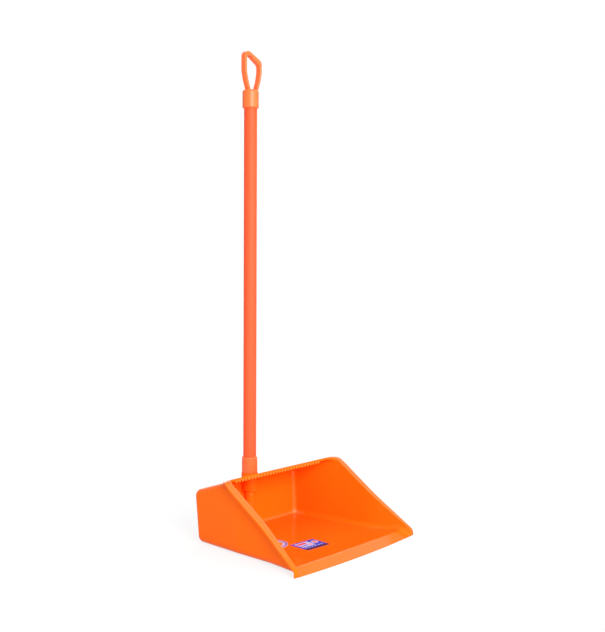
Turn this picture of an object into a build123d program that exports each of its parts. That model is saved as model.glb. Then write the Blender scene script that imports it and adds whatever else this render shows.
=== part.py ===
# Long-handled dustpan: a one-piece moulded pan with a hood and a comb, and a
# coated steel pole that screws into the socket at the back of the pan.
# Millimetres. +Z is up, the mouth of the pan faces -Y, and the origin lies on
# the ground under the middle of the box round the whole object.

import os
from math import cos, radians, tan

from build123d import *

os.makedirs("parts", exist_ok=True)

# Pan, plan view: half widths of the outer wall, and flares at ground and at peak height
pan_depth = 255.4  # crown of the lip to the back of the pole socket
rear_half = 119.5  # at the ground
rear_lean = 2.2  # the side walls lean out by this much up to the peak, at the rear
shoulder_flare = (8.2, 10.2)  # the walls spread by this much from the rear to the shoulder
knee_flare = (3.3, -0.5)  # from the shoulder to the knee
lip_flare = 12.7  # and on the ground from the knee to the ends of the lip
shoulder_back = 139.3  # from the ends of the lip
knee_back = 74.3
side_bend_r = 240.0  # soft bends of the side walls at shoulder and knee
corner_r = 12.0  # upright rear corners, outside
rear_draft = 4.7  # degrees
wall = 2.0

# Pan, side view
floor_thickness = 2.4
base_lift = 1.7  # the underside rises this much from the rear to the ridge
bottom_r = 11.4  # rounding under the rear and side walls
ridge_z = 8.6  # top of the ridge between floor and lip
ridge_r = 5.0
floor_rise = 41.0  # the floor starts to rise this far behind the ridge
floor_bend_r = 80.0
lip_sagitta = 6.4  # the lip is crowned in plan
lip_length = 20.4  # front edge to ridge, in the middle
lip_end_length = 16.6  # the same at the ends
lip_edge = 0.9
lip_skin = 5.6  # the underside of the lip lies this far behind its face
lip_tuck = 6.0  # how far the rounding of the walls sinks below the ends of the lip
rim_angle = 34.1  # degrees
rim_front_z = 9.2
peak_z = 114.3  # where rim and hood would meet in a sharp ridge
hood_angle = 18.4  # degrees, falling to the rear
hood_edge_r = 11.4

# Rim frame round the mouth
rim_thickness = 2.4
rim_edge_r = 1.0  # upper outer edge
rim_width_rear = 12.0  # from the inside of the wall to the outer edge
rim_width_front = 8.0
rim_peak_r = 18.0
rim_front_r = 12.0
hood_edge_setback = 10.4  # straight front edge of the hood, behind the peak
mouth_corner_r = 26.0
frame_proud = 1.2  # the frame stands above the hood
land_rise = 0.9  # the inner half of the rim stands above the outer half
land_width_rear = 6.0
land_width_front = 4.0
land_edge_r = 0.6

# Comb along the straight edge of the hood
comb_pitch = 7.2
comb_tooth_width = 4.4
comb_tooth_tip = 2.4
comb_tooth_height = 3.2
comb_thickness = 2.2

# Pole socket at the back of the pan
socket_wall = 3.45  # outside the female thread
socket_rise = 7.7  # top of the socket above the plane of the rim frame, at the pole
socket_room = 3.0  # free depth below the spigot
socket_base = 3.0
socket_edge_r = 0.8
socket_foot_r = 2.3  # soft foot where the socket leaves hood and rear wall
column_d = 18.4  # round rib that carries the socket down to the floor
pole_behind = 3.0  # rear wall at ground level lies this far behind the pole axis

# Thread between ferrule and socket
thread_pitch = 5.0
thread_root_d = 17.4
thread_height = 1.5
thread_sink = 0.5  # foot of the rib inside the root
thread_base = 2.8
thread_crest = 1.4
thread_turns = 3.5
thread_runout = 2.6  # plain end of the spigot below the thread
thread_clearance = 0.35

# Pole
pole_d = 22.0
pole_length = 635.0
coat_thickness = 0.5
tube_wall = 0.7
fit_clearance = 0.05
coat_clearance = 0.02

# Ferrule between pole and socket
ferrule_wall = 2.15
ferrule_grip = 24.0  # how far the ferrule reaches up over the pole
ferrule_floor = 3.0
ferrule_edge_r = 1.6
ferrule_groove_drops = (9.2, 4.8)  # two grooves, from the top of the collar
ferrule_groove = 0.7
ferrule_foot = 0.8  # chamfer at the foot of the collar
spigot_length = 24.0
spigot_chamfer = 1.0

# Hanger cap with its loop
cap_wall = 2.75
cap_grip = 24.0  # how far the cap reaches down over the pole
cap_roof = 6.0
cap_edge_r = 4.0
cap_mouth_r = 1.4
loop_half = 20.0
loop_shift = 2.2  # the loop stands off the axis of the pole, towards its lower side
loop_foot_half = 9.5
loop_waist_half = 16.6
loop_waist_rise = 15.0  # top of the cap to the waist
loop_side_rise = 15.0  # waist to the upright sides
loop_low_rise = 19.5  # length of the shorter side
loop_slant = 18.2  # the other side is longer by this much
loop_bend_r = 40.0
loop_high_r = (9.2, 6.5)  # outside and inside of the band
loop_low_r = (10.0, 6.4)
loop_band = 4.4
loop_top_band = 7.0
loop_depth = 10.7
loop_edge_r = 1.7

# Stickers on the floor of the pan, bare films
film = 0.2
glue = 0.02
label_size = (50.0, 40.0)
label_corner_r = 1.5
label_at = (-16.5, 29.7)  # from the middle of the pan, and behind the rise of the floor
label_turn = -4.4  # degrees
round_label_d = 50.0
round_label_at = (-54.3, 76.6)

# Derived places
rear_halves = [rear_half, rear_half + rear_lean]
shoulder_half = [half + flare for half, flare in zip(rear_halves, shoulder_flare)]
knee_half = [half + flare for half, flare in zip(shoulder_half, knee_flare)]
lip_half = knee_half[0] + lip_flare  # at the ends of the lip
front_y = -pan_depth / 2
lip_end_y = front_y + lip_sagitta
ridge_y = front_y + lip_length
ridge_end_y = lip_end_y + lip_end_length
rise_y = ridge_y + floor_rise
knee_y = lip_end_y + knee_back
shoulder_y = lip_end_y + shoulder_back
socket_r = thread_root_d / 2 + thread_height + thread_clearance + socket_wall
pole_y = pan_depth / 2 - socket_r
rear_y = pole_y + pole_behind
rim_slope = tan(radians(rim_angle))
hood_slope = tan(radians(hood_angle))
rim_drop = rim_thickness / cos(radians(rim_angle))
hood_drop = frame_proud + wall
peak_y = lip_end_y + (peak_z - rim_front_z) / rim_slope
hood_edge_y = peak_y + hood_edge_setback
base_slope = base_lift / (rear_y - ridge_y)

# A rounding stays a little smaller than the corner or the edge that it runs round
round_share = 0.95
foot_r = min(bottom_r, round_share * corner_r)
brow_r = min(hood_edge_r, round_share * corner_r)
rim_front_bend = radians(90 - rim_angle)
rim_front_room = (rim_front_z - lip_edge / 2) / tan(rim_front_bend / 2)
nose_r = min(rim_front_r, round_share * rim_front_room)
collar_edge_r = min(ferrule_edge_r, round_share * ferrule_wall)
socket_front_rise = socket_rise + frame_proud - socket_r * hood_slope - socket_edge_r
socket_front_bend = radians(90 - hood_angle)
boss_r = min(socket_foot_r, round_share * socket_front_rise * tan(socket_front_bend / 2))

# Helper solids run this far past the pan, and cuts and searches this far past an edge
reach = pan_depth
margin = wall / 2
rear_far = rear_y + reach / 4
front_far = front_y - lip_length / 2
top_far = peak_z + reach
mouth_flare = reach / 4
same_place = wall / 100

# How high the unit normal points on faces that look down, look up or stand upright
looks_down = -0.5
looks_up = 0.3
stands_upright = 0.01


def rim_z(y, drop=0.0):
    return rim_front_z + (y - lip_end_y) * rim_slope - drop


def hood_z(y, drop=0.0):
    return peak_z - (y - peak_y) * hood_slope - drop


def base_z(y):
    return (rear_y - y) * base_slope


def floor_z(y):
    return base_z(y) + floor_thickness


def roof_peak(rim_lower, hood_lower):
    # Where the lowered rim plane meets the lowered hood plane
    shift = (rim_lower - hood_lower) / (rim_slope + hood_slope)
    return peak_y + shift, hood_z(peak_y + shift, hood_lower)


def wall_points(z, inset):
    # Right-hand side of the wall in plan, from the front to the rear
    rise = z / peak_z
    back = rear_y + z * tan(radians(rear_draft)) - inset
    knee = knee_half[0] + rise * (knee_half[1] - knee_half[0])
    shoulder = shoulder_half[0] + rise * (shoulder_half[1] - shoulder_half[0])
    rear = rear_half + rise * rear_lean
    flare = (lip_half - knee) / (knee_y - lip_end_y)
    front_half = knee + flare * (knee_y - front_far)
    return [
        (front_half - inset, front_far),
        (knee - inset, knee_y),
        (shoulder - inset, shoulder_y),
        (rear - inset, back),
    ]


def wall_block(inset):
    # Everything inside the walls, from below the ground to above the peak
    with BuildPart() as block:
        for z in (-lip_tuck - bottom_r, hood_z(front_far) + wall):
            right = wall_points(z, inset)
            left = [(-x, y) for x, y in reversed(right)]
            with BuildSketch(Plane.XY.offset(z)) as outline:
                with BuildLine():
                    Polyline(*right, *left, close=True)
                make_face()
                fillet(outline.vertices().group_by(Axis.Y)[-1], corner_r - inset)
                bends = outline.vertices().filter_by_position(Axis.Y, knee_y - margin, shoulder_y + margin)
                fillet(bends, side_bend_r)
        loft(ruled=True)
    return block.part


def side_view(x, points, rounds=()):
    # A closed side view at the place x, with some of its corners rounded
    with BuildSketch(Plane.YZ.offset(x)) as view:
        with BuildLine():
            Polyline(*points, close=True)
        make_face()
        for (y, z), radius in rounds:
            fillet(view.vertices().sort_by_distance((y, z, 0))[0], radius)
    return view.sketch


def side_prism(*points, rounds=()):
    # Extrudes a side view across the pan
    with BuildPart() as prism:
        extrude(side_view(0, points, rounds), amount=reach, both=True)
    return prism.part


def plan_prism(half_outline, rounds=()):
    # Extrudes one half of a plan view and its mirror image up through the pan
    left = [(-x, y) for x, y in reversed(half_outline)]
    with BuildPart() as prism:
        with BuildSketch(Plane.XY.offset(-reach)) as view:
            with BuildLine():
                Polyline(*half_outline, *left, close=True)
            make_face()
            for (x, y), radius in rounds:
                for side in (x, -x):
                    fillet(view.vertices().sort_by_distance((side, y, 0))[0], radius)
        extrude(amount=2 * reach)
    return prism.part


def crown(x):
    # How far the crowned lip has fallen back at the place x, as a share of its ends
    return (x / lip_half) ** 2


def lip_points(x):
    # Front edge and ridge of the lip at the place x
    edge_y = front_y + crown(x) * lip_sagitta
    top_y = ridge_y + crown(x) * (ridge_end_y - ridge_y)
    return edge_y, top_y


def scoop_view(x):
    # Side view of the space above floor, ridge and lip
    edge_y, top_y = lip_points(x)
    fall = (ridge_z - lip_edge) / (top_y - edge_y)
    ridge = (top_y, ridge_z)
    bend = (rise_y, floor_z(rise_y))
    return side_view(
        x,
        [
            (front_far, lip_edge - fall * (edge_y - front_far)),
            ridge,
            bend,
            (rear_far, floor_z(rear_far)),
            (rear_far, top_far),
            (front_far, top_far),
        ],
        rounds=[(ridge, ridge_r), (bend, floor_bend_r)],
    )


def under_view(x):
    # Side view of the recess under ridge and lip
    edge_y, top_y = lip_points(x)
    fall = (ridge_z - lip_edge) / (top_y - edge_y)
    roof_z = ridge_z - floor_thickness
    roof_y = edge_y + lip_skin + (roof_z - lip_edge) / fall
    return side_view(
        x,
        [
            (edge_y + lip_skin - (wall + lip_edge) / fall, -wall),
            (roof_y, roof_z),
            (rise_y, base_z(rise_y)),
            (rise_y, -wall),
        ],
    )


def foot_edges(block):
    # The edges where the underside of a block meets its sides and its rear
    under = [face for face in block.faces() if face.normal_at().Z < looks_down]
    edges = [edge for face in under for edge in face.edges()]
    middles = [edge.center() for edge in edges]
    chosen = []
    for edge, middle in zip(edges, middles):
        shared = sum((middle - other).length < same_place for other in middles)
        if shared == 1 and middle.Y > front_far + margin:
            chosen.append(edge)
    return chosen


def brow_edges(block):
    # The edges where the top of a block meets its sides and its rear
    top = block.faces().sort_by(Axis.Z)[-1]
    return [edge for edge in top.edges() if edge.center().Y > front_far + margin]


def outer_rim_edges(band):
    # The edges where the top of the rim band meets its upright outer sides
    behind = lip_end_y + rim_thickness + margin
    tops = [face for face in band.faces() if face.normal_at().Z > looks_up]
    sides = [face for face in band.faces() if abs(face.normal_at().Z) < stands_upright]
    middles = [edge.center() for face in sides if face.center().Y > behind for edge in face.edges()]
    chosen = []
    for edge in [edge for face in tops for edge in face.edges()]:
        if any((edge.center() - middle).length < same_place for middle in middles):
            chosen.append(edge)
    return chosen


# The space in the pan above floor and lip, with a rounded foot to its walls
scoop_side = lip_half + wall
with BuildPart() as scoop:
    loft([scoop_view(x) for x in (-scoop_side, 0, scoop_side)])
    add(wall_block(wall), mode=Mode.INTERSECT)
    fillet(foot_edges(scoop.part), foot_r - wall)

# Space under the hood, rounded where hood and walls meet
under_peak = roof_peak(rim_drop, hood_drop)
with BuildPart() as hood_hollow:
    add(scoop.part)
    add(
        side_prism(
            (front_far - margin, hood_z(front_far - margin, hood_drop)),
            (rear_far, hood_z(rear_far, hood_drop)),
            (rear_far, 2 * top_far),
            (front_far - margin, 2 * top_far),
        ),
        mode=Mode.SUBTRACT,
    )
    fillet(brow_edges(hood_hollow.part), brow_r - wall)
    add(
        side_prism(
            (front_far - margin, rim_z(front_far - margin, rim_drop)),
            under_peak,
            (rear_far, hood_z(rear_far, hood_drop)),
            (rear_far, 2 * top_far),
            (front_far - margin, 2 * top_far),
            rounds=[(under_peak, rim_peak_r - rim_thickness)],
        ),
        mode=Mode.SUBTRACT,
    )

# The mouth opens upwards between the side walls, as far back as the edge of the hood
mouth_half = shoulder_half[1] - wall
mouth_turn_y = hood_edge_y - mouth_corner_r - wall
with BuildPart() as mouth:
    add(scoop.part)
    add(
        plan_prism(
            [
                (mouth_half + mouth_flare, front_far - margin),
                (mouth_half + mouth_flare, mouth_turn_y - mouth_flare / 2),
                (mouth_half, mouth_turn_y),
                (mouth_half, hood_edge_y),
            ],
            rounds=[((mouth_half, hood_edge_y), mouth_corner_r)],
        ),
        mode=Mode.INTERSECT,
    )

# Walls, floor, lip and hood from the outside
outer_peak = roof_peak(rim_drop / 2, frame_proud)
tuck_slope = (base_lift + lip_tuck) / (ridge_y - lip_end_y)
with BuildPart() as shell:
    add(wall_block(0))
    add(
        side_prism(
            (front_far, base_lift - tuck_slope * (ridge_y - front_far)),
            (ridge_y, base_lift),
            (rear_far, base_z(rear_far)),
            (rear_far, hood_z(rear_far, frame_proud)),
            (front_far, hood_z(front_far, frame_proud)),
            rounds=[((ridge_y, base_lift), bottom_r)],
        ),
        mode=Mode.INTERSECT,
    )
    fillet(foot_edges(shell.part), foot_r)
    fillet(brow_edges(shell.part), brow_r)
    add(
        side_prism(
            (front_far - margin, rim_z(front_far - margin, rim_drop / 2)),
            outer_peak,
            (outer_peak[0], top_far),
            (front_far - margin, top_far),
        ),
        mode=Mode.SUBTRACT,
    )
    with BuildSketch(Plane.XY):
        with BuildLine():
            ThreePointArc((-lip_half, lip_end_y), (0, front_y), (lip_half, lip_end_y))
            Polyline(
                (lip_half, lip_end_y),
                (reach, lip_end_y),
                (reach, rear_far),
                (-reach, rear_far),
                (-reach, lip_end_y),
                (-lip_half, lip_end_y),
            )
        make_face()
    extrude(amount=top_far, mode=Mode.INTERSECT)

# Recess under ridge and lip, so that the floor keeps its thickness there
under_side = knee_half[0] - bottom_r - wall
with BuildPart() as under_recess:
    loft([under_view(x) for x in (-under_side, 0, under_side)])


def rim_band(rise, width_rear, width_front, edge_r):
    # A bent band seen from the side, trimmed to its outline in plan
    front_half = lip_half - wall + width_front
    knee = knee_half[0] - wall + width_rear
    rear = mouth_half + width_rear
    back_y = hood_edge_y + width_rear
    flare = (front_half - knee) / (knee_y - lip_end_y)
    front_top = (lip_end_y, rim_front_z + rise)
    peak = (peak_y, peak_z + rise)
    inner_y = lip_end_y + rim_thickness
    with BuildPart() as band:
        add(
            side_prism(
                (lip_end_y, lip_edge / 2),
                front_top,
                peak,
                (rear_far, hood_z(rear_far) + rise),
                (rear_far, hood_z(rear_far, hood_drop)),
                under_peak,
                (inner_y, rim_z(inner_y, rim_drop)),
                (inner_y, lip_edge / 2),
                rounds=[
                    (front_top, nose_r),
                    (peak, rim_peak_r),
                    (under_peak, rim_peak_r - rim_thickness),
                ],
            )
        )
        add(
            plan_prism(
                [
                    (front_half + flare * lip_sagitta, front_y),
                    (knee, knee_y),
                    (rear, back_y),
                ],
                rounds=[
                    ((rear, back_y), mouth_corner_r + width_rear),
                    ((knee, knee_y), side_bend_r),
                ],
            ),
            mode=Mode.INTERSECT,
        )
        fillet(outer_rim_edges(band.part), edge_r)
    return band.part


# Rim frame: a broad band, and a narrower one that stands a little higher along the mouth
with BuildPart() as frame:
    add(rim_band(0, rim_width_rear, rim_width_front, min(rim_edge_r, rim_thickness / 2)))
    add(rim_band(land_rise, land_width_rear, land_width_front, min(land_edge_r, land_rise)))

# Places along the pole
pole_plane = Plane((0, pole_y, 0), x_dir=(1, 0, 0), z_dir=(0, -1, 0))
pole_axis = Axis((0, pole_y, 0), (0, 0, 1))
root_r = thread_root_d / 2
socket_top_z = hood_z(pole_y) + socket_rise
spigot_bottom_z = socket_top_z - spigot_length
socket_floor_z = spigot_bottom_z - socket_room
socket_bottom_z = socket_floor_z - socket_base
thread_start_z = spigot_bottom_z + thread_runout + thread_base / 2
pole_bottom_z = socket_top_z + ferrule_floor
pole_top_z = pole_bottom_z + pole_length
pole_hole_r = pole_d / 2 + fit_clearance
collar_top_z = pole_bottom_z + ferrule_grip
cap_bottom_z = pole_top_z - cap_grip
cap_top_z = pole_top_z + cap_roof


def turned(*points, rounds=()):
    # Turns a half section, given as radius and height, about the axis of the pole
    with BuildPart() as body:
        with BuildSketch(pole_plane) as section:
            with BuildLine():
                Polyline(*points, close=True)
            make_face()
            for (r, z), radius in rounds:
                fillet(section.vertices().sort_by_distance((r, z, 0))[0], radius)
        revolve(axis=pole_axis)
    return body.part


def thread(start_z, turns, room):
    # A helical rib on the root of the thread, widened by some room
    with BuildPart() as rib:
        with BuildLine() as path:
            Helix(thread_pitch, turns * thread_pitch, root_r, center=(0, pole_y, start_z))
        with BuildSketch(Plane(path.line @ 0, x_dir=(1, 0, 0), z_dir=path.line % 0)):
            Polygon(
                (-thread_sink, -thread_base / 2 - room),
                (thread_height + room, -thread_crest / 2 - room),
                (thread_height + room, thread_crest / 2 + room),
                (-thread_sink, thread_base / 2 + room),
                align=None,
            )
        sweep(path=path.line, is_frenet=True)
    return rib.part


# The pole socket with its female thread, moulded in one piece with the pan
spare_turns = 1
groove_start_z = thread_start_z - spare_turns * thread_pitch
groove_turns = (socket_top_z - groove_start_z) / thread_pitch + spare_turns
blank_top_z = groove_start_z + (groove_turns + 2 * spare_turns) * thread_pitch
with BuildPart() as socket:
    add(
        turned(
            (root_r + thread_clearance, blank_top_z),
            (socket_r, blank_top_z),
            (socket_r, socket_bottom_z),
            (0, socket_bottom_z),
            (0, socket_floor_z),
            (root_r + thread_clearance, socket_floor_z),
        )
    )
    add(thread(groove_start_z, groove_turns, thread_clearance), mode=Mode.SUBTRACT)
    split(bisect_by=Plane.XY.offset(socket_top_z), keep=Keep.BOTTOM)
    outer_circles = socket.edges().filter_by(GeomType.CIRCLE).group_by(SortBy.RADIUS)[-1]
    fillet(outer_circles.sort_by(Axis.Z)[-1], socket_edge_r)

# The round rib below the socket, inside the rear wall
with BuildPart() as column:
    with Locations((0, pole_y, socket_floor_z)):
        Cylinder(column_d / 2, socket_floor_z, align=(Align.CENTER, Align.CENTER, Align.MAX))
    add(shell.part, mode=Mode.INTERSECT)

comb_count = 1 + int(2 * (mouth_half - mouth_corner_r) / comb_pitch)
comb_top_z = hood_z(hood_edge_y, hood_drop)
comb_plane = Plane((0, hood_edge_y, comb_top_z), x_dir=(1, 0, 0), z_dir=(0, -1, 0))
with BuildPart() as pan:
    add(shell.part)
    add(frame.part)
    add(hood_hollow.part, mode=Mode.SUBTRACT)
    add(mouth.part, mode=Mode.SUBTRACT)
    add(under_recess.part, mode=Mode.SUBTRACT)
    add(column.part)
    with BuildSketch(comb_plane):
        with GridLocations(comb_pitch, 0, comb_count, 1):
            Polygon(
                (-comb_tooth_width / 2, wall / 2),
                (-comb_tooth_width / 2, 0),
                (-comb_tooth_tip / 2, -comb_tooth_height),
                (comb_tooth_tip / 2, -comb_tooth_height),
                (comb_tooth_width / 2, 0),
                (comb_tooth_width / 2, wall / 2),
                align=None,
            )
    extrude(amount=-comb_thickness)
    with Locations((0, pole_y, socket_top_z)):
        Cylinder(
            socket_r,
            socket_top_z - socket_bottom_z,
            align=(Align.CENTER, Align.CENTER, Align.MAX),
            mode=Mode.SUBTRACT,
        )
    add(socket.part)
    socket_front_y = pole_y - socket_r
    socket_foot = (0, socket_front_y, hood_z(socket_front_y, frame_proud))
    fillet(pan.edges().filter_by(GeomType.ELLIPSE).sort_by_distance(socket_foot)[0], boss_r)
pan.part.label = "pan"
export_step(pan.part, "parts/pan.step")

# Ferrule: a collar over the foot of the pole and a threaded spigot for the socket
collar_r = pole_hole_r + ferrule_wall
grooves = []
for drop in ferrule_groove_drops:
    groove_z = collar_top_z - drop
    grooves.append((collar_r, groove_z - ferrule_groove))
    grooves.append((collar_r - ferrule_groove, groove_z))
    grooves.append((collar_r, groove_z + ferrule_groove))
with BuildPart() as ferrule:
    add(
        turned(
            (0, spigot_bottom_z),
            (root_r - spigot_chamfer, spigot_bottom_z),
            (root_r, spigot_bottom_z + spigot_chamfer),
            (root_r, socket_top_z),
            (collar_r - ferrule_foot, socket_top_z),
            (collar_r, socket_top_z + ferrule_foot),
            *grooves,
            (collar_r, collar_top_z),
            (pole_hole_r, collar_top_z),
            (pole_hole_r, pole_bottom_z),
            (0, pole_bottom_z),
            rounds=[((collar_r, collar_top_z), collar_edge_r)],
        )
    )
    add(thread(thread_start_z, thread_turns, 0))
ferrule.part.label = "threaded_ferrule"
export_step(ferrule.part, "parts/threaded_ferrule.step")

# Steel tube of the pole
tube_r = pole_d / 2 - coat_thickness
with BuildPart() as tube:
    with BuildSketch(Plane.XY.offset(pole_bottom_z)):
        with Locations((0, pole_y)):
            Circle(tube_r)
            Circle(tube_r - tube_wall, mode=Mode.SUBTRACT)
    extrude(amount=pole_length)
tube.part.label = "pole_tube"
export_step(tube.part, "parts/pole_tube.step")

# Plastic coat shrunk on the tube
with BuildPart() as coat:
    with BuildSketch(Plane.XY.offset(pole_bottom_z)):
        with Locations((0, pole_y)):
            Circle(pole_d / 2)
            Circle(tube_r + coat_clearance, mode=Mode.SUBTRACT)
    extrude(amount=pole_length)
coat.part.label = "pole_coat"
export_step(coat.part, "parts/pole_coat.step")

# Hanger cap: a plug over the top of the pole with a flat loop
cap_r = pole_hole_r + cap_wall
foot_z = cap_top_z - cap_edge_r


def loop_outline(shrink, lower, high_r, low_r):
    # The loop seen along the pan, with one corner higher than the other
    foot = loop_foot_half - shrink
    waist = loop_waist_half - shrink
    side = loop_half - shrink
    waist_z = cap_top_z + loop_waist_rise
    side_z = waist_z + loop_side_rise
    low_corner = (loop_shift + side, side_z + loop_low_rise - lower)
    high_corner = (loop_shift - side, side_z + loop_low_rise + loop_slant - lower)
    with BuildSketch(pole_plane) as outline:
        with BuildLine():
            Polyline(
                (loop_shift + foot, foot_z),
                (loop_shift + waist, waist_z),
                (loop_shift + side, side_z),
                low_corner,
                high_corner,
                (loop_shift - side, side_z),
                (loop_shift - waist, waist_z),
                (loop_shift - foot, foot_z),
                close=True,
            )
        make_face()
        bends = outline.vertices().filter_by_position(Axis.Y, waist_z - margin, side_z + margin)
        fillet(bends, loop_bend_r)
        fillet(outline.vertices().sort_by_distance((*high_corner, 0))[0], high_r)
        fillet(outline.vertices().sort_by_distance((*low_corner, 0))[0], low_r)
    return outline.sketch


with BuildPart() as loop:
    extrude(loop_outline(0, 0, loop_high_r[0], loop_low_r[0]), amount=loop_depth / 2, both=True)
    extrude(
        loop_outline(loop_band, loop_top_band, loop_high_r[1], loop_low_r[1]),
        amount=loop_depth,
        both=True,
        mode=Mode.SUBTRACT,
    )
    sides = loop.faces().filter_by(Axis.Y).group_by(Axis.Y)
    fillet(sides[0].edges() + sides[-1].edges(), loop_edge_r)
with BuildPart() as cap:
    add(
        turned(
            (pole_hole_r, cap_bottom_z),
            (cap_r, cap_bottom_z),
            (cap_r, cap_top_z),
            (0, cap_top_z),
            (0, pole_top_z),
            (pole_hole_r, pole_top_z),
            rounds=[((cap_r, cap_bottom_z), cap_mouth_r), ((cap_r, cap_top_z), cap_edge_r)],
        )
    )
    add(loop.part)
cap.part.label = "hanger_cap"
export_step(cap.part, "parts/hanger_cap.step")


def floor_plane(place, turn):
    # A plane lying on the floor of the pan
    x, behind_rise = place
    y = rise_y + behind_rise
    upright = Plane((x, y, floor_z(y) + glue), x_dir=(1, 0, 0), z_dir=(0, base_slope, 1))
    return upright.rotated((0, 0, turn))


# Stickers on the floor
with BuildPart() as floor_label:
    with BuildSketch(floor_plane(label_at, label_turn)):
        RectangleRounded(*label_size, label_corner_r)
    extrude(amount=film)
floor_label.part.label = "floor_label"
export_step(floor_label.part, "parts/floor_label.step")

with BuildPart() as round_label:
    with BuildSketch(floor_plane(round_label_at, 0)):
        Circle(round_label_d / 2)
    extrude(amount=film)
round_label.part.label = "round_label"
export_step(round_label.part, "parts/round_label.step")
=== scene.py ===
import math

import bpy
from mathutils import Matrix, Vector


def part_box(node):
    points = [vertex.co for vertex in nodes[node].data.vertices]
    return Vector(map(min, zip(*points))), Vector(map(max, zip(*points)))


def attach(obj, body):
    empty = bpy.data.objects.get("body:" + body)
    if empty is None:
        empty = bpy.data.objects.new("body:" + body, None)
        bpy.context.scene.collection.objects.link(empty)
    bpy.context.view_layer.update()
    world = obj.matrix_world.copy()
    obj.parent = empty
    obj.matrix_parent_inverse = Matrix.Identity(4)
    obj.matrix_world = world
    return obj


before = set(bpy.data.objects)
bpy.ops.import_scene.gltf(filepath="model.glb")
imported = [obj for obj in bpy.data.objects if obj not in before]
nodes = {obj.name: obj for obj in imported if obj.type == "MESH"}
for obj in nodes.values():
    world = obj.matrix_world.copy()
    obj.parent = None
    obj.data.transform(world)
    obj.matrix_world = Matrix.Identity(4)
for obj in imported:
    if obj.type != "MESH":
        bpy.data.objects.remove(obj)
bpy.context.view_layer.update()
scene = bpy.context.scene
scene.view_settings.view_transform = "Standard"
print("frame loaded:", ", ".join(sorted(nodes)))

# Camera at the photograph's viewing angle
cameraSet = {
    "place": (-1.1439, -0.9931, 0.4418),
    "yaw": 0.8576,  # radians, from +Y towards +X
    "pitch": 0.05,  # downwards
    "roll": 0.0055,  # the pole leans a little in the photograph
    "focalPixels": 941.5,
    "imageHeight": 632,  # longer side of the 605 x 632 image
    "sensor": 36.0,
}


def makeCamera(chosen):
    yaw, pitch, roll = chosen["yaw"], chosen["pitch"], chosen["roll"]
    flat = math.cos(pitch)
    forward = Vector((math.sin(yaw) * flat, math.cos(yaw) * flat, -math.sin(pitch)))
    level = Vector((math.cos(yaw), -math.sin(yaw), 0))
    rise = level.cross(forward)
    right = level * math.cos(roll) + rise * math.sin(roll)
    lens = bpy.data.cameras.new("photoCamera")
    lens.sensor_width = chosen["sensor"]
    lens.lens = chosen["focalPixels"] * chosen["sensor"] / chosen["imageHeight"]
    camera = bpy.data.objects.new("photoCamera", lens)
    turned = Matrix((right, right.cross(forward), -forward)).transposed().to_4x4()
    turned.translation = Vector(chosen["place"])
    camera.matrix_world = turned
    scene.collection.objects.link(camera)
    scene.camera = camera


makeCamera(cameraSet)
print("camera set")


# Small helpers for node trees
def fill(tree, socket, value):
    if isinstance(value, bpy.types.NodeSocket):
        tree.links.new(value, socket)
    else:
        socket.default_value = value


def put(tree, kind, inputs=None, **settings):
    node = tree.nodes.new(kind)
    for name, value in settings.items():
        setattr(node, name, value)
    for key, value in (inputs or {}).items():
        fill(tree, node.inputs[key], value)
    return node


def calc(tree, operation, *terms, clamp=False):
    inputs = dict(enumerate(terms))
    return put(tree, "ShaderNodeMath", inputs, operation=operation, use_clamp=clamp).outputs[0]


def measure(tree, operation, *vectors):
    inputs = dict(enumerate(vectors))
    return put(tree, "ShaderNodeVectorMath", inputs, operation=operation).outputs["Value"]


def remap(tree, value, span, result=(0.0, 1.0)):
    inputs = {
        "Value": value,
        "From Min": span[0],
        "From Max": span[1],
        "To Min": result[0],
        "To Max": result[1],
    }
    return put(tree, "ShaderNodeMapRange", inputs).outputs[0]


def noise(tree, place, scale, detail, distortion=0.0):
    inputs = {"Vector": place, "Scale": scale, "Detail": detail, "Distortion": distortion}
    return put(tree, "ShaderNodeTexNoise", inputs).outputs["Fac"]


def objectPlace(tree):
    return put(tree, "ShaderNodeTexCoord").outputs["Object"]


def surfaceFacing(tree):
    return put(tree, "ShaderNodeNewGeometry").outputs["Normal"]


def splitAxes(tree, vector):
    return put(tree, "ShaderNodeSeparateXYZ", {0: vector}).outputs


def blendColour(tree, factor, first, second):
    node = put(tree, "ShaderNodeMix", data_type="RGBA")
    sockets = {socket.identifier: socket for socket in node.inputs}
    for key, value in (("Factor_Float", factor), ("A_Color", first), ("B_Color", second)):
        fill(tree, sockets[key], value)
    return next(socket for socket in node.outputs if socket.identifier == "Result_Color")


def newGroup(name, inputs, outputs):
    group = bpy.data.node_groups.new(name, "ShaderNodeTree")
    for label, value in inputs.items():
        socket = group.interface.new_socket(label, in_out="INPUT", socket_type="NodeSocketFloat")
        socket.default_value = value
    for label, kind in outputs.items():
        group.interface.new_socket(label, in_out="OUTPUT", socket_type=kind)
    given = group.nodes.new("NodeGroupInput").outputs
    result = group.nodes.new("NodeGroupOutput").inputs
    return group, given, result


def use(tree, group, **inputs):
    return put(tree, "ShaderNodeGroup", inputs, node_tree=group).outputs


# Moulded skin: slow flow marks, a faint orange peel and patches of haze
mouldedSkinSet = {  # scale, detail and distortion of each
    "Flow": (9.0, 3.0, 0.8),
    "Peel": (700.0, 2.0, 0.0),
    "Haze": (45.0, 4.0, 0.3),
}


def makeMouldedSkin(chosen):
    scales = {label + " Scale": scale for label, (scale, _, _) in chosen.items()}
    group, given, result = newGroup("mouldedSkin", scales, dict.fromkeys(chosen, "NodeSocketFloat"))
    place = objectPlace(group)
    for label, (_, detail, distortion) in chosen.items():
        pattern = noise(group, place, given[label + " Scale"], detail, distortion)
        group.links.new(pattern, result[label])
    return group


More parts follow.
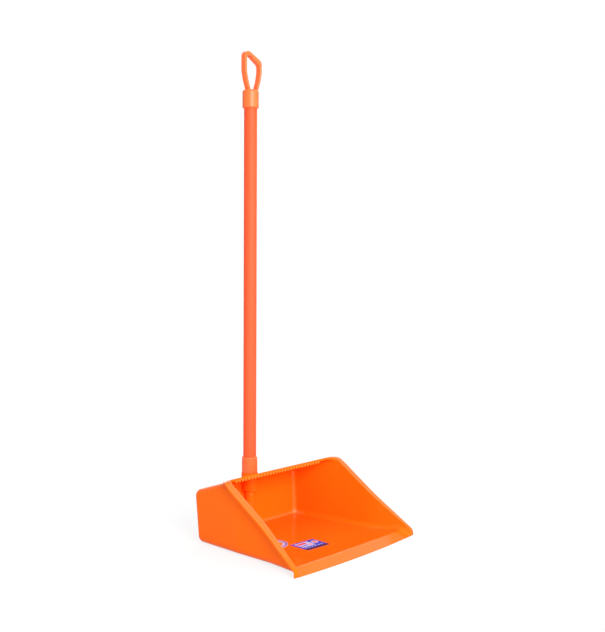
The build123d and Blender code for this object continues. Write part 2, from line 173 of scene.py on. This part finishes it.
# Fine handling scratches: stretched noise in two directions, kept in patches
fineScratchesSet = {
    "inputs": {"Spread": 6.0, "Fineness": 900.0, "Share": 0.64},
    "turns": ((0.3, 0.2, 0.7), (0.9, -0.4, -0.5)),  # radians, one for each direction
    "stretch": (1.0, 0.02, 0.02),
    "lineDetail": 1.0,
    "patchDetail": 2.0,
    "patchRange": (0.5, 0.7),  # unscratched below, fully scratched above
}


def makeFineScratches(chosen):
    group, given, result = newGroup("fineScratches", chosen["inputs"], {"Scratch": "NodeSocketFloat"})
    place = objectPlace(group)
    lines = []
    for turn in chosen["turns"]:
        mapping = {"Vector": place, "Rotation": turn, "Scale": chosen["stretch"]}
        turned = put(group, "ShaderNodeMapping", mapping).outputs[0]
        streaks = noise(group, turned, given["Fineness"], chosen["lineDetail"])
        lines.append(calc(group, "GREATER_THAN", streaks, given["Share"]))
    patches = noise(group, place, given["Spread"], chosen["patchDetail"])
    worn = remap(group, patches, chosen["patchRange"])
    either = calc(group, "MAXIMUM", *lines)
    group.links.new(calc(group, "MULTIPLY", either, worn), result["Scratch"])
    return group


# Soft edges: the corner rounding of the mould, and a mask of where it lies, which carries a painted
# highlight along the edges
softEdgesSet = {
    "inputs": {"Radius": 0.0008},
    "samples": 6,
    "edgeRange": (0.02, 0.3),  # 1 less the cosine of the angle that the rounding turns the surface by
}


def makeSoftEdges(chosen):
    outputs = {"Normal": "NodeSocketVector", "Edge": "NodeSocketFloat"}
    group, given, result = newGroup("softEdges", chosen["inputs"], outputs)
    bevel = put(group, "ShaderNodeBevel", {"Radius": given["Radius"]}, samples=chosen["samples"])
    rounded = bevel.outputs[0]
    agree = measure(group, "DOT_PRODUCT", rounded, surfaceFacing(group))
    turned = calc(group, "SUBTRACT", 1.0, agree, clamp=True)
    group.links.new(rounded, result["Normal"])
    group.links.new(remap(group, turned, chosen["edgeRange"]), result["Edge"])
    return group


# Settled dust and a painted highlight: a thin film of dust on faces that look up, and a pale line of
# painted highlight along the inner corners at the rear
dustAndNookSheenSet = {
    "inputs": {"Grain": 260.0, "Nook Size": 0.009, "Clear Middle": 0.02},
    "grainDetail": 3.0,
    "grainRange": (0.45, 0.8),
    "upwardRange": (0.6, 1.0),  # how far up a face looks, for no film and for the full film
    "nookSamples": 8,
    "openRange": (0.89, 0.76),  # share of open space round a point, for no line and for the full line
    "rearRange": (0.088, 0.104),  # along Y, where the line begins and where it is full
    "bendRange": (0.95, 0.62),  # longest share of the normal: 1 on a wall, less in a corner
    "downwardRange": (-0.25, 0.0),  # no line on faces that look down
    "outwardLimit": 0.03,  # an outer face is further than this from the upright axis, along its normal
}


def makeDustAndNookSheen(chosen):
    outputs = {"Film": "NodeSocketFloat", "Nook": "NodeSocketFloat"}
    group, given, result = newGroup("dustAndNookSheen", chosen["inputs"], outputs)
    place = objectPlace(group)
    facing = surfaceFacing(group)
    facingX, facingY, facingZ = splitAxes(group, facing)
    specks = noise(group, place, given["Grain"], chosen["grainDetail"])
    upward = remap(group, facingZ, chosen["upwardRange"])
    film = calc(group, "MULTIPLY", upward, remap(group, specks, chosen["grainRange"]))
    group.links.new(film, result["Film"])

    sky = put(
        group,
        "ShaderNodeAmbientOcclusion",
        {"Distance": given["Nook Size"]},
        samples=chosen["nookSamples"],
        only_local=True,
    )
    across, along, _ = splitAxes(group, place)
    level = put(group, "ShaderNodeVectorMath", {0: place, 1: (1, 1, 0)}, operation="MULTIPLY").outputs[0]
    outward = measure(group, "DOT_PRODUCT", level, facing)
    square = calc(group, "ABSOLUTE", facingX)
    for share in (facingY, facingZ):
        square = calc(group, "MAXIMUM", square, calc(group, "ABSOLUTE", share))
    nookSheen = remap(group, sky.outputs["AO"], chosen["openRange"])
    limits = (
        calc(group, "GREATER_THAN", calc(group, "ABSOLUTE", across), given["Clear Middle"]),
        calc(group, "LESS_THAN", outward, chosen["outwardLimit"]),
        remap(group, along, chosen["rearRange"]),
        remap(group, square, chosen["bendRange"]),
        remap(group, facingZ, chosen["downwardRange"]),
    )
    for limit in limits:
        nookSheen = calc(group, "MULTIPLY", nookSheen, limit)
    group.links.new(nookSheen, result["Nook"])
    return group


# One printed band: 1 inside the width round the centre, with a soft edge of ink
printBandSet = {"Value": 0.0, "Centre": 0.0, "Width": 0.01, "Bleed": 0.0003}


def makePrintBand(chosen):
    group, given, result = newGroup("printBand", chosen, {"Mask": "NodeSocketFloat"})
    off = calc(group, "ABSOLUTE", calc(group, "SUBTRACT", given["Value"], given["Centre"]))
    half = calc(group, "MULTIPLY", given["Width"], 0.5)
    ink = calc(group, "DIVIDE", calc(group, "SUBTRACT", half, off), given["Bleed"])
    group.links.new(calc(group, "ADD", ink, 0.5, clamp=True), result["Mask"])
    return group


mouldedSkin = makeMouldedSkin(mouldedSkinSet)
fineScratches = makeFineScratches(fineScratchesSet)
softEdges = makeSoftEdges(softEdgesSet)
dustAndNookSheen = makeDustAndNookSheen(dustAndNookSheenSet)
printBand = makePrintBand(printBandSet)
print("shared finishes made")


def newMaterial(name):
    material = bpy.data.materials.new(name)
    material.use_nodes = True
    tree = material.node_tree
    return material, tree, tree.nodes["Principled BSDF"]


def dressShader(tree, shader, colour, rough, bump, specular):
    normal = put(tree, "ShaderNodeBump", bump).outputs[0]
    for label, socket in (("Base Color", colour), ("Roughness", rough), ("Normal", normal)):
        tree.links.new(socket, shader.inputs[label])
    shader.inputs["Specular IOR Level"].default_value = specular


# The moulded plastics: each has its colours and its own amount of every effect
plasticSet = {  # what all of them share
    "dustColour": (0.75, 0.68, 0.6, 1),
    "nookHighlightColour": (1.0, 0.6, 0.33, 1),  # painted highlight: the pale line in the inner corners
    "scratchRoughness": 0.5,
}
panPlasticSet = {
    **plasticSet,
    "colour": (1.0, 0.15, 0.0042, 1),
    "flowColour": (1.0, 0.136, 0.0032, 1),
    # paler colour for scratches, and for a painted highlight along the edges
    "scratchAndHighlightColour": (1.0, 0.3, 0.06, 1),
    "roughness": 0.04,
    "haze": 0.06,
    "specular": 0.05,
    "flowScale": 9.0,
    "peelScale": 700.0,
    "peelHeight": 0.00001,
    "edgeRadius": 0.001,
    "edgeHighlight": 0.6,
    "scratches": 0.03,
    "dust": 0.02,
    "nookHighlight": 0.8,
}
trimPlasticSet = {
    **plasticSet,
    "colour": (1.0, 0.16, 0.024, 1),
    "flowColour": (1.0, 0.145, 0.02, 1),
    "scratchAndHighlightColour": (1.0, 0.3, 0.08, 1),
    "roughness": 0.42,
    "haze": 0.05,
    "specular": 0.6,
    "flowScale": 30.0,
    "peelScale": 1100.0,
    "peelHeight": 0.00001,
    "edgeRadius": 0.0005,
    "edgeHighlight": 0.3,
    "scratches": 0.05,
    "dust": 0.02,
    "nookHighlight": 0.0,
}
collarPlasticSet = {
    **trimPlasticSet,  # redder than the cap, with weaker reflections
    "colour": (1.0, 0.165, 0.045, 1),
    "flowColour": (1.0, 0.15, 0.04, 1),
    "roughness": 0.34,
    "specular": 0.25,
}
coatPlasticSet = {
    **plasticSet,
    "colour": (1.0, 0.102, 0.03, 1),
    "flowColour": (0.98, 0.092, 0.026, 1),
    "scratchAndHighlightColour": (1.0, 0.2, 0.07, 1),
    "roughness": 0.42,
    "haze": 0.1,
    "specular": 0.18,
    "flowScale": 14.0,
    "peelScale": 900.0,
    "peelHeight": 0.00003,
    "edgeRadius": 0.0003,
    "edgeHighlight": 0.1,
    "scratches": 0.08,
    "dust": 0.02,
    "nookHighlight": 0.0,
}
combHighlightPlasticSet = {
    **panPlasticSet,  # the same moulding, rougher, and paler as a painted highlight on the beads
    "colour": (1.0, 0.2, 0.015, 1),
    "flowColour": (1.0, 0.18, 0.012, 1),
    "roughness": 0.24,
    "specular": 0.14,
}

# Finish that the pan alone has: a pale painted sheen on the flat of its rim, and a polished floor
panSheenAndPolishSet = {
    "rimSheen": 0.45,
    "rimSheenColour": (1.0, 0.2, 0.07, 1),
    "rimSheenPatches": 0.5,  # added to the haze, so that the painted sheen is patchy round its amount
    "rimFacing": (0.0, -0.56, 0.83),  # the flat of the rim, square to the mouth
    "rimFacingRange": (0.985, 0.998),  # the lip is turned away by more than this
    "rimHeights": (0.008, 0.03),  # the painted sheen starts and is full at these heights
    "floorGloss": 0.8,  # coat on the floor, polished by what is swept over it
    "floorGlossRoughness": 0.12,
    "floorFacing": (0.985, 0.999),  # how far up a face looks
    "floorHeights": (0.03, 0.02),  # no coat above, full coat below
}


# Painted sheen: the flat of the rim made paler, as light falling on it makes it look
def paintRimSheen(tree, colour, haze, chosen):
    agree = measure(tree, "DOT_PRODUCT", surfaceFacing(tree), chosen["rimFacing"])
    height = splitAxes(tree, objectPlace(tree))["Z"]
    sheen = calc(tree, "MULTIPLY", calc(tree, "ADD", haze, chosen["rimSheenPatches"]), chosen["rimSheen"])
    for value, span in ((agree, chosen["rimFacingRange"]), (height, chosen["rimHeights"])):
        sheen = calc(tree, "MULTIPLY", sheen, remap(tree, value, span))
    return blendColour(tree, sheen, colour, chosen["rimSheenColour"])


def polishFloor(tree, chosen):
    gloss = chosen["floorGloss"]
    limits = ((surfaceFacing(tree), chosen["floorFacing"]), (objectPlace(tree), chosen["floorHeights"]))
    for vector, span in limits:
        gloss = calc(tree, "MULTIPLY", gloss, remap(tree, splitAxes(tree, vector)["Z"], span))
    return gloss


def makePlastic(name, chosen, sheenAndPolish=None):
    material, tree, shader = newMaterial(name)
    scales = {"Flow Scale": chosen["flowScale"], "Peel Scale": chosen["peelScale"]}
    skin = use(tree, mouldedSkin, **scales)
    scratch = use(tree, fineScratches)["Scratch"]
    edges = use(tree, softEdges, Radius=chosen["edgeRadius"])
    # Its Film output is settled dust, its Nook output the corner line of painted highlight
    dust = use(tree, dustAndNookSheen)
    colour = blendColour(tree, skin["Flow"], chosen["colour"], chosen["flowColour"])
    if sheenAndPolish:
        colour = paintRimSheen(tree, colour, skin["Haze"], sheenAndPolish)
        tree.links.new(polishFloor(tree, sheenAndPolish), shader.inputs["Coat Weight"])
        shader.inputs["Coat Roughness"].default_value = sheenAndPolish["floorGlossRoughness"]
    # Painted highlight: the rounded edges made paler, as light catching them would make them; the
    # scratches take the same colour
    sheen = calc(tree, "MULTIPLY", edges["Edge"], chosen["edgeHighlight"])
    mark = calc(tree, "MULTIPLY", scratch, chosen["scratches"])
    film = calc(tree, "MULTIPLY", dust["Film"], chosen["dust"])
    # Painted highlight: a pale line along the inner corners at the rear
    nookSheen = calc(tree, "MULTIPLY", dust["Nook"], chosen["nookHighlight"])
    colour = blendColour(tree, calc(tree, "MAXIMUM", sheen, mark), colour, chosen["scratchAndHighlightColour"])
    colour = blendColour(tree, film, colour, chosen["dustColour"])
    colour = blendColour(tree, nookSheen, colour, chosen["nookHighlightColour"])
    rough = calc(tree, "MULTIPLY_ADD", skin["Haze"], chosen["haze"], chosen["roughness"])
    rough = calc(tree, "MULTIPLY_ADD", mark, chosen["scratchRoughness"], rough)
    bump = {"Distance": chosen["peelHeight"], "Height": skin["Peel"], "Normal": edges["Normal"]}
    dressShader(tree, shader, colour, rough, bump, chosen["specular"])
    return material


# Rolled steel of the tube inside the coat
tubeSteelSet = {
    "colour": (0.56, 0.56, 0.57, 1),
    "streakColour": (0.45, 0.45, 0.46, 1),
    "roughness": 0.32,
    "streakRoughness": 0.15,
    "streakScale": 1500.0,
    "streakDetail": 3.0,
    "stretch": (1.0, 1.0, 0.01),  # drawn out along the tube
}


def makeTubeSteel(chosen):
    material, tree, shader = newMaterial("tubeSteel")
    drawn = put(tree, "ShaderNodeMapping", {"Vector": objectPlace(tree), "Scale": chosen["stretch"]})
    streaks = noise(tree, drawn.outputs[0], chosen["streakScale"], chosen["streakDetail"])
    colour = blendColour(tree, streaks, chosen["colour"], chosen["streakColour"])
    tree.links.new(colour, shader.inputs["Base Color"])
    rough = calc(tree, "MULTIPLY_ADD", streaks, chosen["streakRoughness"], chosen["roughness"])
    tree.links.new(rough, shader.inputs["Roughness"])
    shader.inputs["Metallic"].default_value = 1.0
    return material


# Printed films: plain bars, blocks, ticks and rings of colour
filmSet = {
    "roughness": 0.45,
    "specular": 0.06,
    "skin": {"Flow Scale": 40.0, "Peel Scale": 400.0, "Haze Scale": 120.0},
    "grime": 0.12,
    "grimeColour": (0.3, 0.26, 0.26, 1),
    "haze": 0.12,
    "peelHeight": 0.00006,
}
floorLabelSet = {
    **filmSet,
    "turn": math.radians(-4.4),
    "ground": (0.012, 0.045, 0.5, 1),
    "blocks": [  # middle and size across, middle and size along, ink
        (0.0, 0.06, -0.0165, 0.007, (0.03, 0.006, 0.03, 1)),
        (-0.0065, 0.029, 0.006, 0.0215, (0.5, 0.52, 0.78, 1)),
        (-0.0095, 0.019, 0.0105, 0.0055, (0.72, 0.012, 0.02, 1)),
        (-0.0115, 0.015, 0.0015, 0.0035, (0.1, 0.1, 0.6, 1)),
        (0.0015, 0.006, 0.0015, 0.0035, (0.85, 0.22, 0.01, 1)),
    ],
    "discAt": (0.0165, 0.0065),
    "rings": [  # radius, width, ink
        (0.0, 0.0125, (0.5, 0.52, 0.78, 1)),
        (0.0, 0.0075, (0.85, 0.22, 0.01, 1)),
    ],
    "tickCount": 6,
    "tickPitch": 0.0068,
    "tick": (0.0032, -0.0088, 0.0042, (0.35, 0.4, 0.75, 1)),  # size across, middle and size along, ink
}
roundLabelSet = {
    **filmSet,
    "ground": (0.5, 0.47, 0.7, 1),
    "rings": [
        (0.0225, 0.003, (0.16, 0.14, 0.5, 1)),
        (0.0125, 0.008, (0.9, 0.24, 0.03, 1)),
        (0.0, 0.009, (0.32, 0.09, 0.03, 1)),
    ],
}


def middle(node):
    low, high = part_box(node)
    return (low + high) / 2


def dressFilm(tree, shader, colour, chosen):
    skin = use(tree, mouldedSkin, **chosen["skin"])
    grime = calc(tree, "MULTIPLY", skin["Flow"], chosen["grime"])
    colour = blendColour(tree, grime, colour, chosen["grimeColour"])
    rough = calc(tree, "MULTIPLY_ADD", skin["Haze"], chosen["haze"], chosen["roughness"])
    bump = {"Distance": chosen["peelHeight"], "Height": skin["Peel"]}
    dressShader(tree, shader, colour, rough, bump, chosen["specular"])


def printRings(tree, colour, place, centre, rings):
    away = measure(tree, "DISTANCE", place, centre)
    for radius, width, ink in rings:
        mask = use(tree, printBand, Value=away, Centre=radius, Width=width)["Mask"]
        colour = blendColour(tree, mask, colour, ink)
    return colour


def makeFloorLabel(chosen):
    material, tree, shader = newMaterial("floorLabelFilm")
    turned = {
        "Vector": objectPlace(tree),
        "Location": middle("floor_label"),
        "Rotation": (0, 0, chosen["turn"]),
    }
    local = put(tree, "ShaderNodeMapping", turned, vector_type="TEXTURE").outputs[0]
    localX, localY, _ = splitAxes(tree, local)
    blocks = list(chosen["blocks"])
    for tick in range(chosen["tickCount"]):
        across = (tick - (chosen["tickCount"] - 1) / 2) * chosen["tickPitch"]
        blocks.append((across, *chosen["tick"]))
    colour = chosen["ground"]
    for across, width, along, length, ink in blocks:
        columns = use(tree, printBand, Value=localX, Centre=across, Width=width)["Mask"]
        rows = use(tree, printBand, Value=localY, Centre=along, Width=length)["Mask"]
        colour = blendColour(tree, calc(tree, "MULTIPLY", columns, rows), colour, ink)
    colour = printRings(tree, colour, local, (*chosen["discAt"], 0.0), chosen["rings"])
    dressFilm(tree, shader, colour, chosen)
    return material


def makeRoundLabel(chosen):
    material, tree, shader = newMaterial("roundLabelFilm")
    centre = middle("round_label")
    colour = printRings(tree, chosen["ground"], objectPlace(tree), centre, chosen["rings"])
    dressFilm(tree, shader, colour, chosen)
    return material


finishes = {
    "pan": makePlastic("panPlastic", panPlasticSet, panSheenAndPolishSet),
    "hanger_cap": makePlastic("trimPlastic", trimPlasticSet),
    "threaded_ferrule": makePlastic("collarPlastic", collarPlasticSet),
    "pole_coat": makePlastic("coatPlastic", coatPlasticSet),
    "pole_tube": makeTubeSteel(tubeSteelSet),
    "floor_label": makeFloorLabel(floorLabelSet),
    "round_label": makeRoundLabel(roundLabelSet),
}
for nodeName, material in finishes.items():
    nodes[nodeName].material_slots[0].material = material
print("finishes on", len(finishes), "nodes")

# Comb under the front edge of the hood: a row of rounded beads over the teeth
combSet = {
    "count": 29,
    "pitch": 0.0072,
    "bead": (0.0054, 0.004, 0.0056),  # width, depth and height
    "subdivisions": 3,
    "behindLip": 0.173,  # middle of the row, from the crown of the lip
    "belowPeak": 0.0068,  # and from the top of the pan
}


def makeBeadTree(chosen, finish):
    tree = bpy.data.node_groups.new("combBeads", "GeometryNodeTree")
    tree.interface.new_socket("Geometry", in_out="INPUT", socket_type="NodeSocketGeometry")
    tree.interface.new_socket("Geometry", in_out="OUTPUT", socket_type="NodeSocketGeometry")
    kinds = {
        "Count": "NodeSocketInt",
        "Start": "NodeSocketVector",
        "Step": "NodeSocketVector",
        "Bead": "NodeSocketVector",
    }
    keys = {}
    for label, kind in kinds.items():
        keys[label] = tree.interface.new_socket(label, in_out="INPUT", socket_type=kind).identifier
    given = tree.nodes.new("NodeGroupInput").outputs
    result = tree.nodes.new("NodeGroupOutput").inputs
    steps = {"Count": given["Count"], "Start Location": given["Start"], "Offset": given["Step"]}
    row = put(tree, "GeometryNodeMeshLine", steps, mode="OFFSET").outputs[0]
    unitBall = {"Radius": 0.5, "Subdivisions": chosen["subdivisions"]}
    ball = put(tree, "GeometryNodeMeshIcoSphere", unitBall).outputs["Mesh"]
    bead = put(tree, "GeometryNodeTransform", {"Geometry": ball, "Scale": given["Bead"]}).outputs[0]
    beads = put(tree, "GeometryNodeInstanceOnPoints", {"Points": row, "Instance": bead}).outputs[0]
    whole = put(tree, "GeometryNodeRealizeInstances", {"Geometry": beads}).outputs[0]
    smooth = put(tree, "GeometryNodeSetShadeSmooth", {"Geometry": whole}).outputs[0]
    dressed = put(tree, "GeometryNodeSetMaterial", {"Geometry": smooth, "Material": finish}).outputs[0]
    tree.links.new(dressed, result["Geometry"])
    return tree, keys


def makeComb(chosen, finish):
    tree, keys = makeBeadTree(chosen, finish)
    comb = bpy.data.objects.new("hood_comb", bpy.data.meshes.new("hood_comb"))
    scene.collection.objects.link(comb)
    rule = comb.modifiers.new("combBeads", "NODES")
    rule.node_group = tree
    panLow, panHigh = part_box("pan")
    firstX = -(chosen["count"] - 1) / 2 * chosen["pitch"]
    rule[keys["Count"]] = chosen["count"]
    rule[keys["Start"]] = (firstX, panLow.y + chosen["behindLip"], panHigh.z - chosen["belowPeak"])
    rule[keys["Step"]] = (chosen["pitch"], 0.0, 0.0)
    rule[keys["Bead"]] = chosen["bead"]
    shape = comb.evaluated_get(bpy.context.evaluated_depsgraph_get())
    mesh = bpy.data.meshes.new_from_object(shape)
    comb.modifiers.remove(rule)
    comb.data = mesh
    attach(comb, "pan")
    return comb


comb = makeComb(combSet, makePlastic("combHighlightPlastic", combHighlightPlasticSet))
print("comb beads:", combSet["count"], "faces", len(comb.data.polygons))

# Floor and light: a white floor in a white room, with softboxes in front, left, behind and overhead
floorSet = {
    "size": 60.0,
    "colour": (0.92, 0.92, 0.92, 1),  # as it is shown
    "bounceColour": (0.62, 0.62, 0.62, 1),  # and as it lights the object from below
    "roughness": 0.9,
    "specular": 0.0,
    "glow": {"Color": (1, 1, 1, 1), "Strength": 1.0},  # the plain white that the floor fades to
    "shadowShare": 0.2,  # how much of the shaded floor shows round the object
    "shadowReach": (0.2, 0.55),  # the shaded floor fades to plain white between these distances
}
roomSet = {
    "colour": (1.0, 1.0, 1.0, 1),
    "level": 0.4,  # as it lights the object, while it is shown at full white
}
lampSets = {
    "cameraBox": {
        "place": (-0.95, -1.75, 1.05),
        "target": (-0.1, -0.2, 0.0),
        "size": (0.8, 0.9),
        "watts": 42.0,
    },
    "leftBox": {
        "place": (-0.95, -0.25, 0.2),
        "target": (-0.12, 0.0, 0.05),
        "size": (0.5, 0.25),
        "watts": 2.2,
    },
    "mouthBox": {
        "place": (0.1, -1.9, 0.6),
        "target": (0.0, 0.1, 0.1),
        "size": (1.7, 1.0),
        "watts": 15.0,
    },
    "rearBox": {
        "place": (1.4, 1.22, 1.1),
        "target": (0.0, 0.05, 0.1),
        "size": (2.0, 1.6),
        "watts": 17.0,
    },
    "overheadBox": {
        "place": (0.2, 0.0, 2.2),
        "target": (0.0, 0.0, 0.1),
        "size": (2.4, 2.4),
        "watts": 16.0,
    },
}


def shownRays(tree):
    path = put(tree, "ShaderNodeLightPath").outputs
    seen = calc(tree, "ADD", path["Is Camera Ray"], path["Is Glossy Ray"])
    return calc(tree, "ADD", seen, path["Is Transmission Ray"], clamp=True)


def makeFloor(chosen):
    half = chosen["size"] / 2
    corners = [(-half, -half, 0), (half, -half, 0), (half, half, 0), (-half, half, 0)]
    mesh = bpy.data.meshes.new("floor")
    mesh.from_pydata(corners, [], [(0, 1, 2, 3)])
    floor = bpy.data.objects.new("floor", mesh)
    scene.collection.objects.link(floor)
    material, tree, shader = newMaterial("paleFloor")
    shown = shownRays(tree)
    colour = blendColour(tree, shown, chosen["bounceColour"], chosen["colour"])
    tree.links.new(colour, shader.inputs["Base Color"])
    shader.inputs["Roughness"].default_value = chosen["roughness"]
    shader.inputs["Specular IOR Level"].default_value = chosen["specular"]
    glow = put(tree, "ShaderNodeEmission", chosen["glow"])
    away = measure(tree, "LENGTH", objectPlace(tree))
    white = remap(tree, away, chosen["shadowReach"], (1.0 - chosen["shadowShare"], 1.0))
    share = calc(tree, "MULTIPLY", shown, white)
    both = put(tree, "ShaderNodeMixShader", {0: share, 1: shader.outputs[0], 2: glow.outputs[0]})
    tree.links.new(both.outputs[0], tree.nodes["Material Output"].inputs["Surface"])
    mesh.materials.append(material)


def makeRoom(chosen):
    world = bpy.data.worlds.new("whiteRoom")
    world.use_nodes = True
    tree = world.node_tree
    sky = tree.nodes["Background"]
    sky.inputs["Color"].default_value = chosen["colour"]
    level = calc(tree, "MULTIPLY_ADD", shownRays(tree), 1.0 - chosen["level"], chosen["level"])
    tree.links.new(level, sky.inputs["Strength"])
    scene.world = world


def makeLamp(name, chosen):
    box = bpy.data.lights.new(name, "AREA")
    box.shape = "RECTANGLE"
    box.size, box.size_y = chosen["size"]
    box.energy = chosen["watts"]
    lamp = bpy.data.objects.new(name, box)
    place = Vector(chosen["place"])
    lamp.location = place
    lamp.rotation_euler = (Vector(chosen["target"]) - place).to_track_quat("-Z", "Y").to_euler()
    lamp.visible_camera = False
    scene.collection.objects.link(lamp)


makeFloor(floorSet)
makeRoom(roomSet)
for lampName, lampSet in lampSets.items():
    makeLamp(lampName, lampSet)
print("floor, room and", len(lampSets), "lamps set")
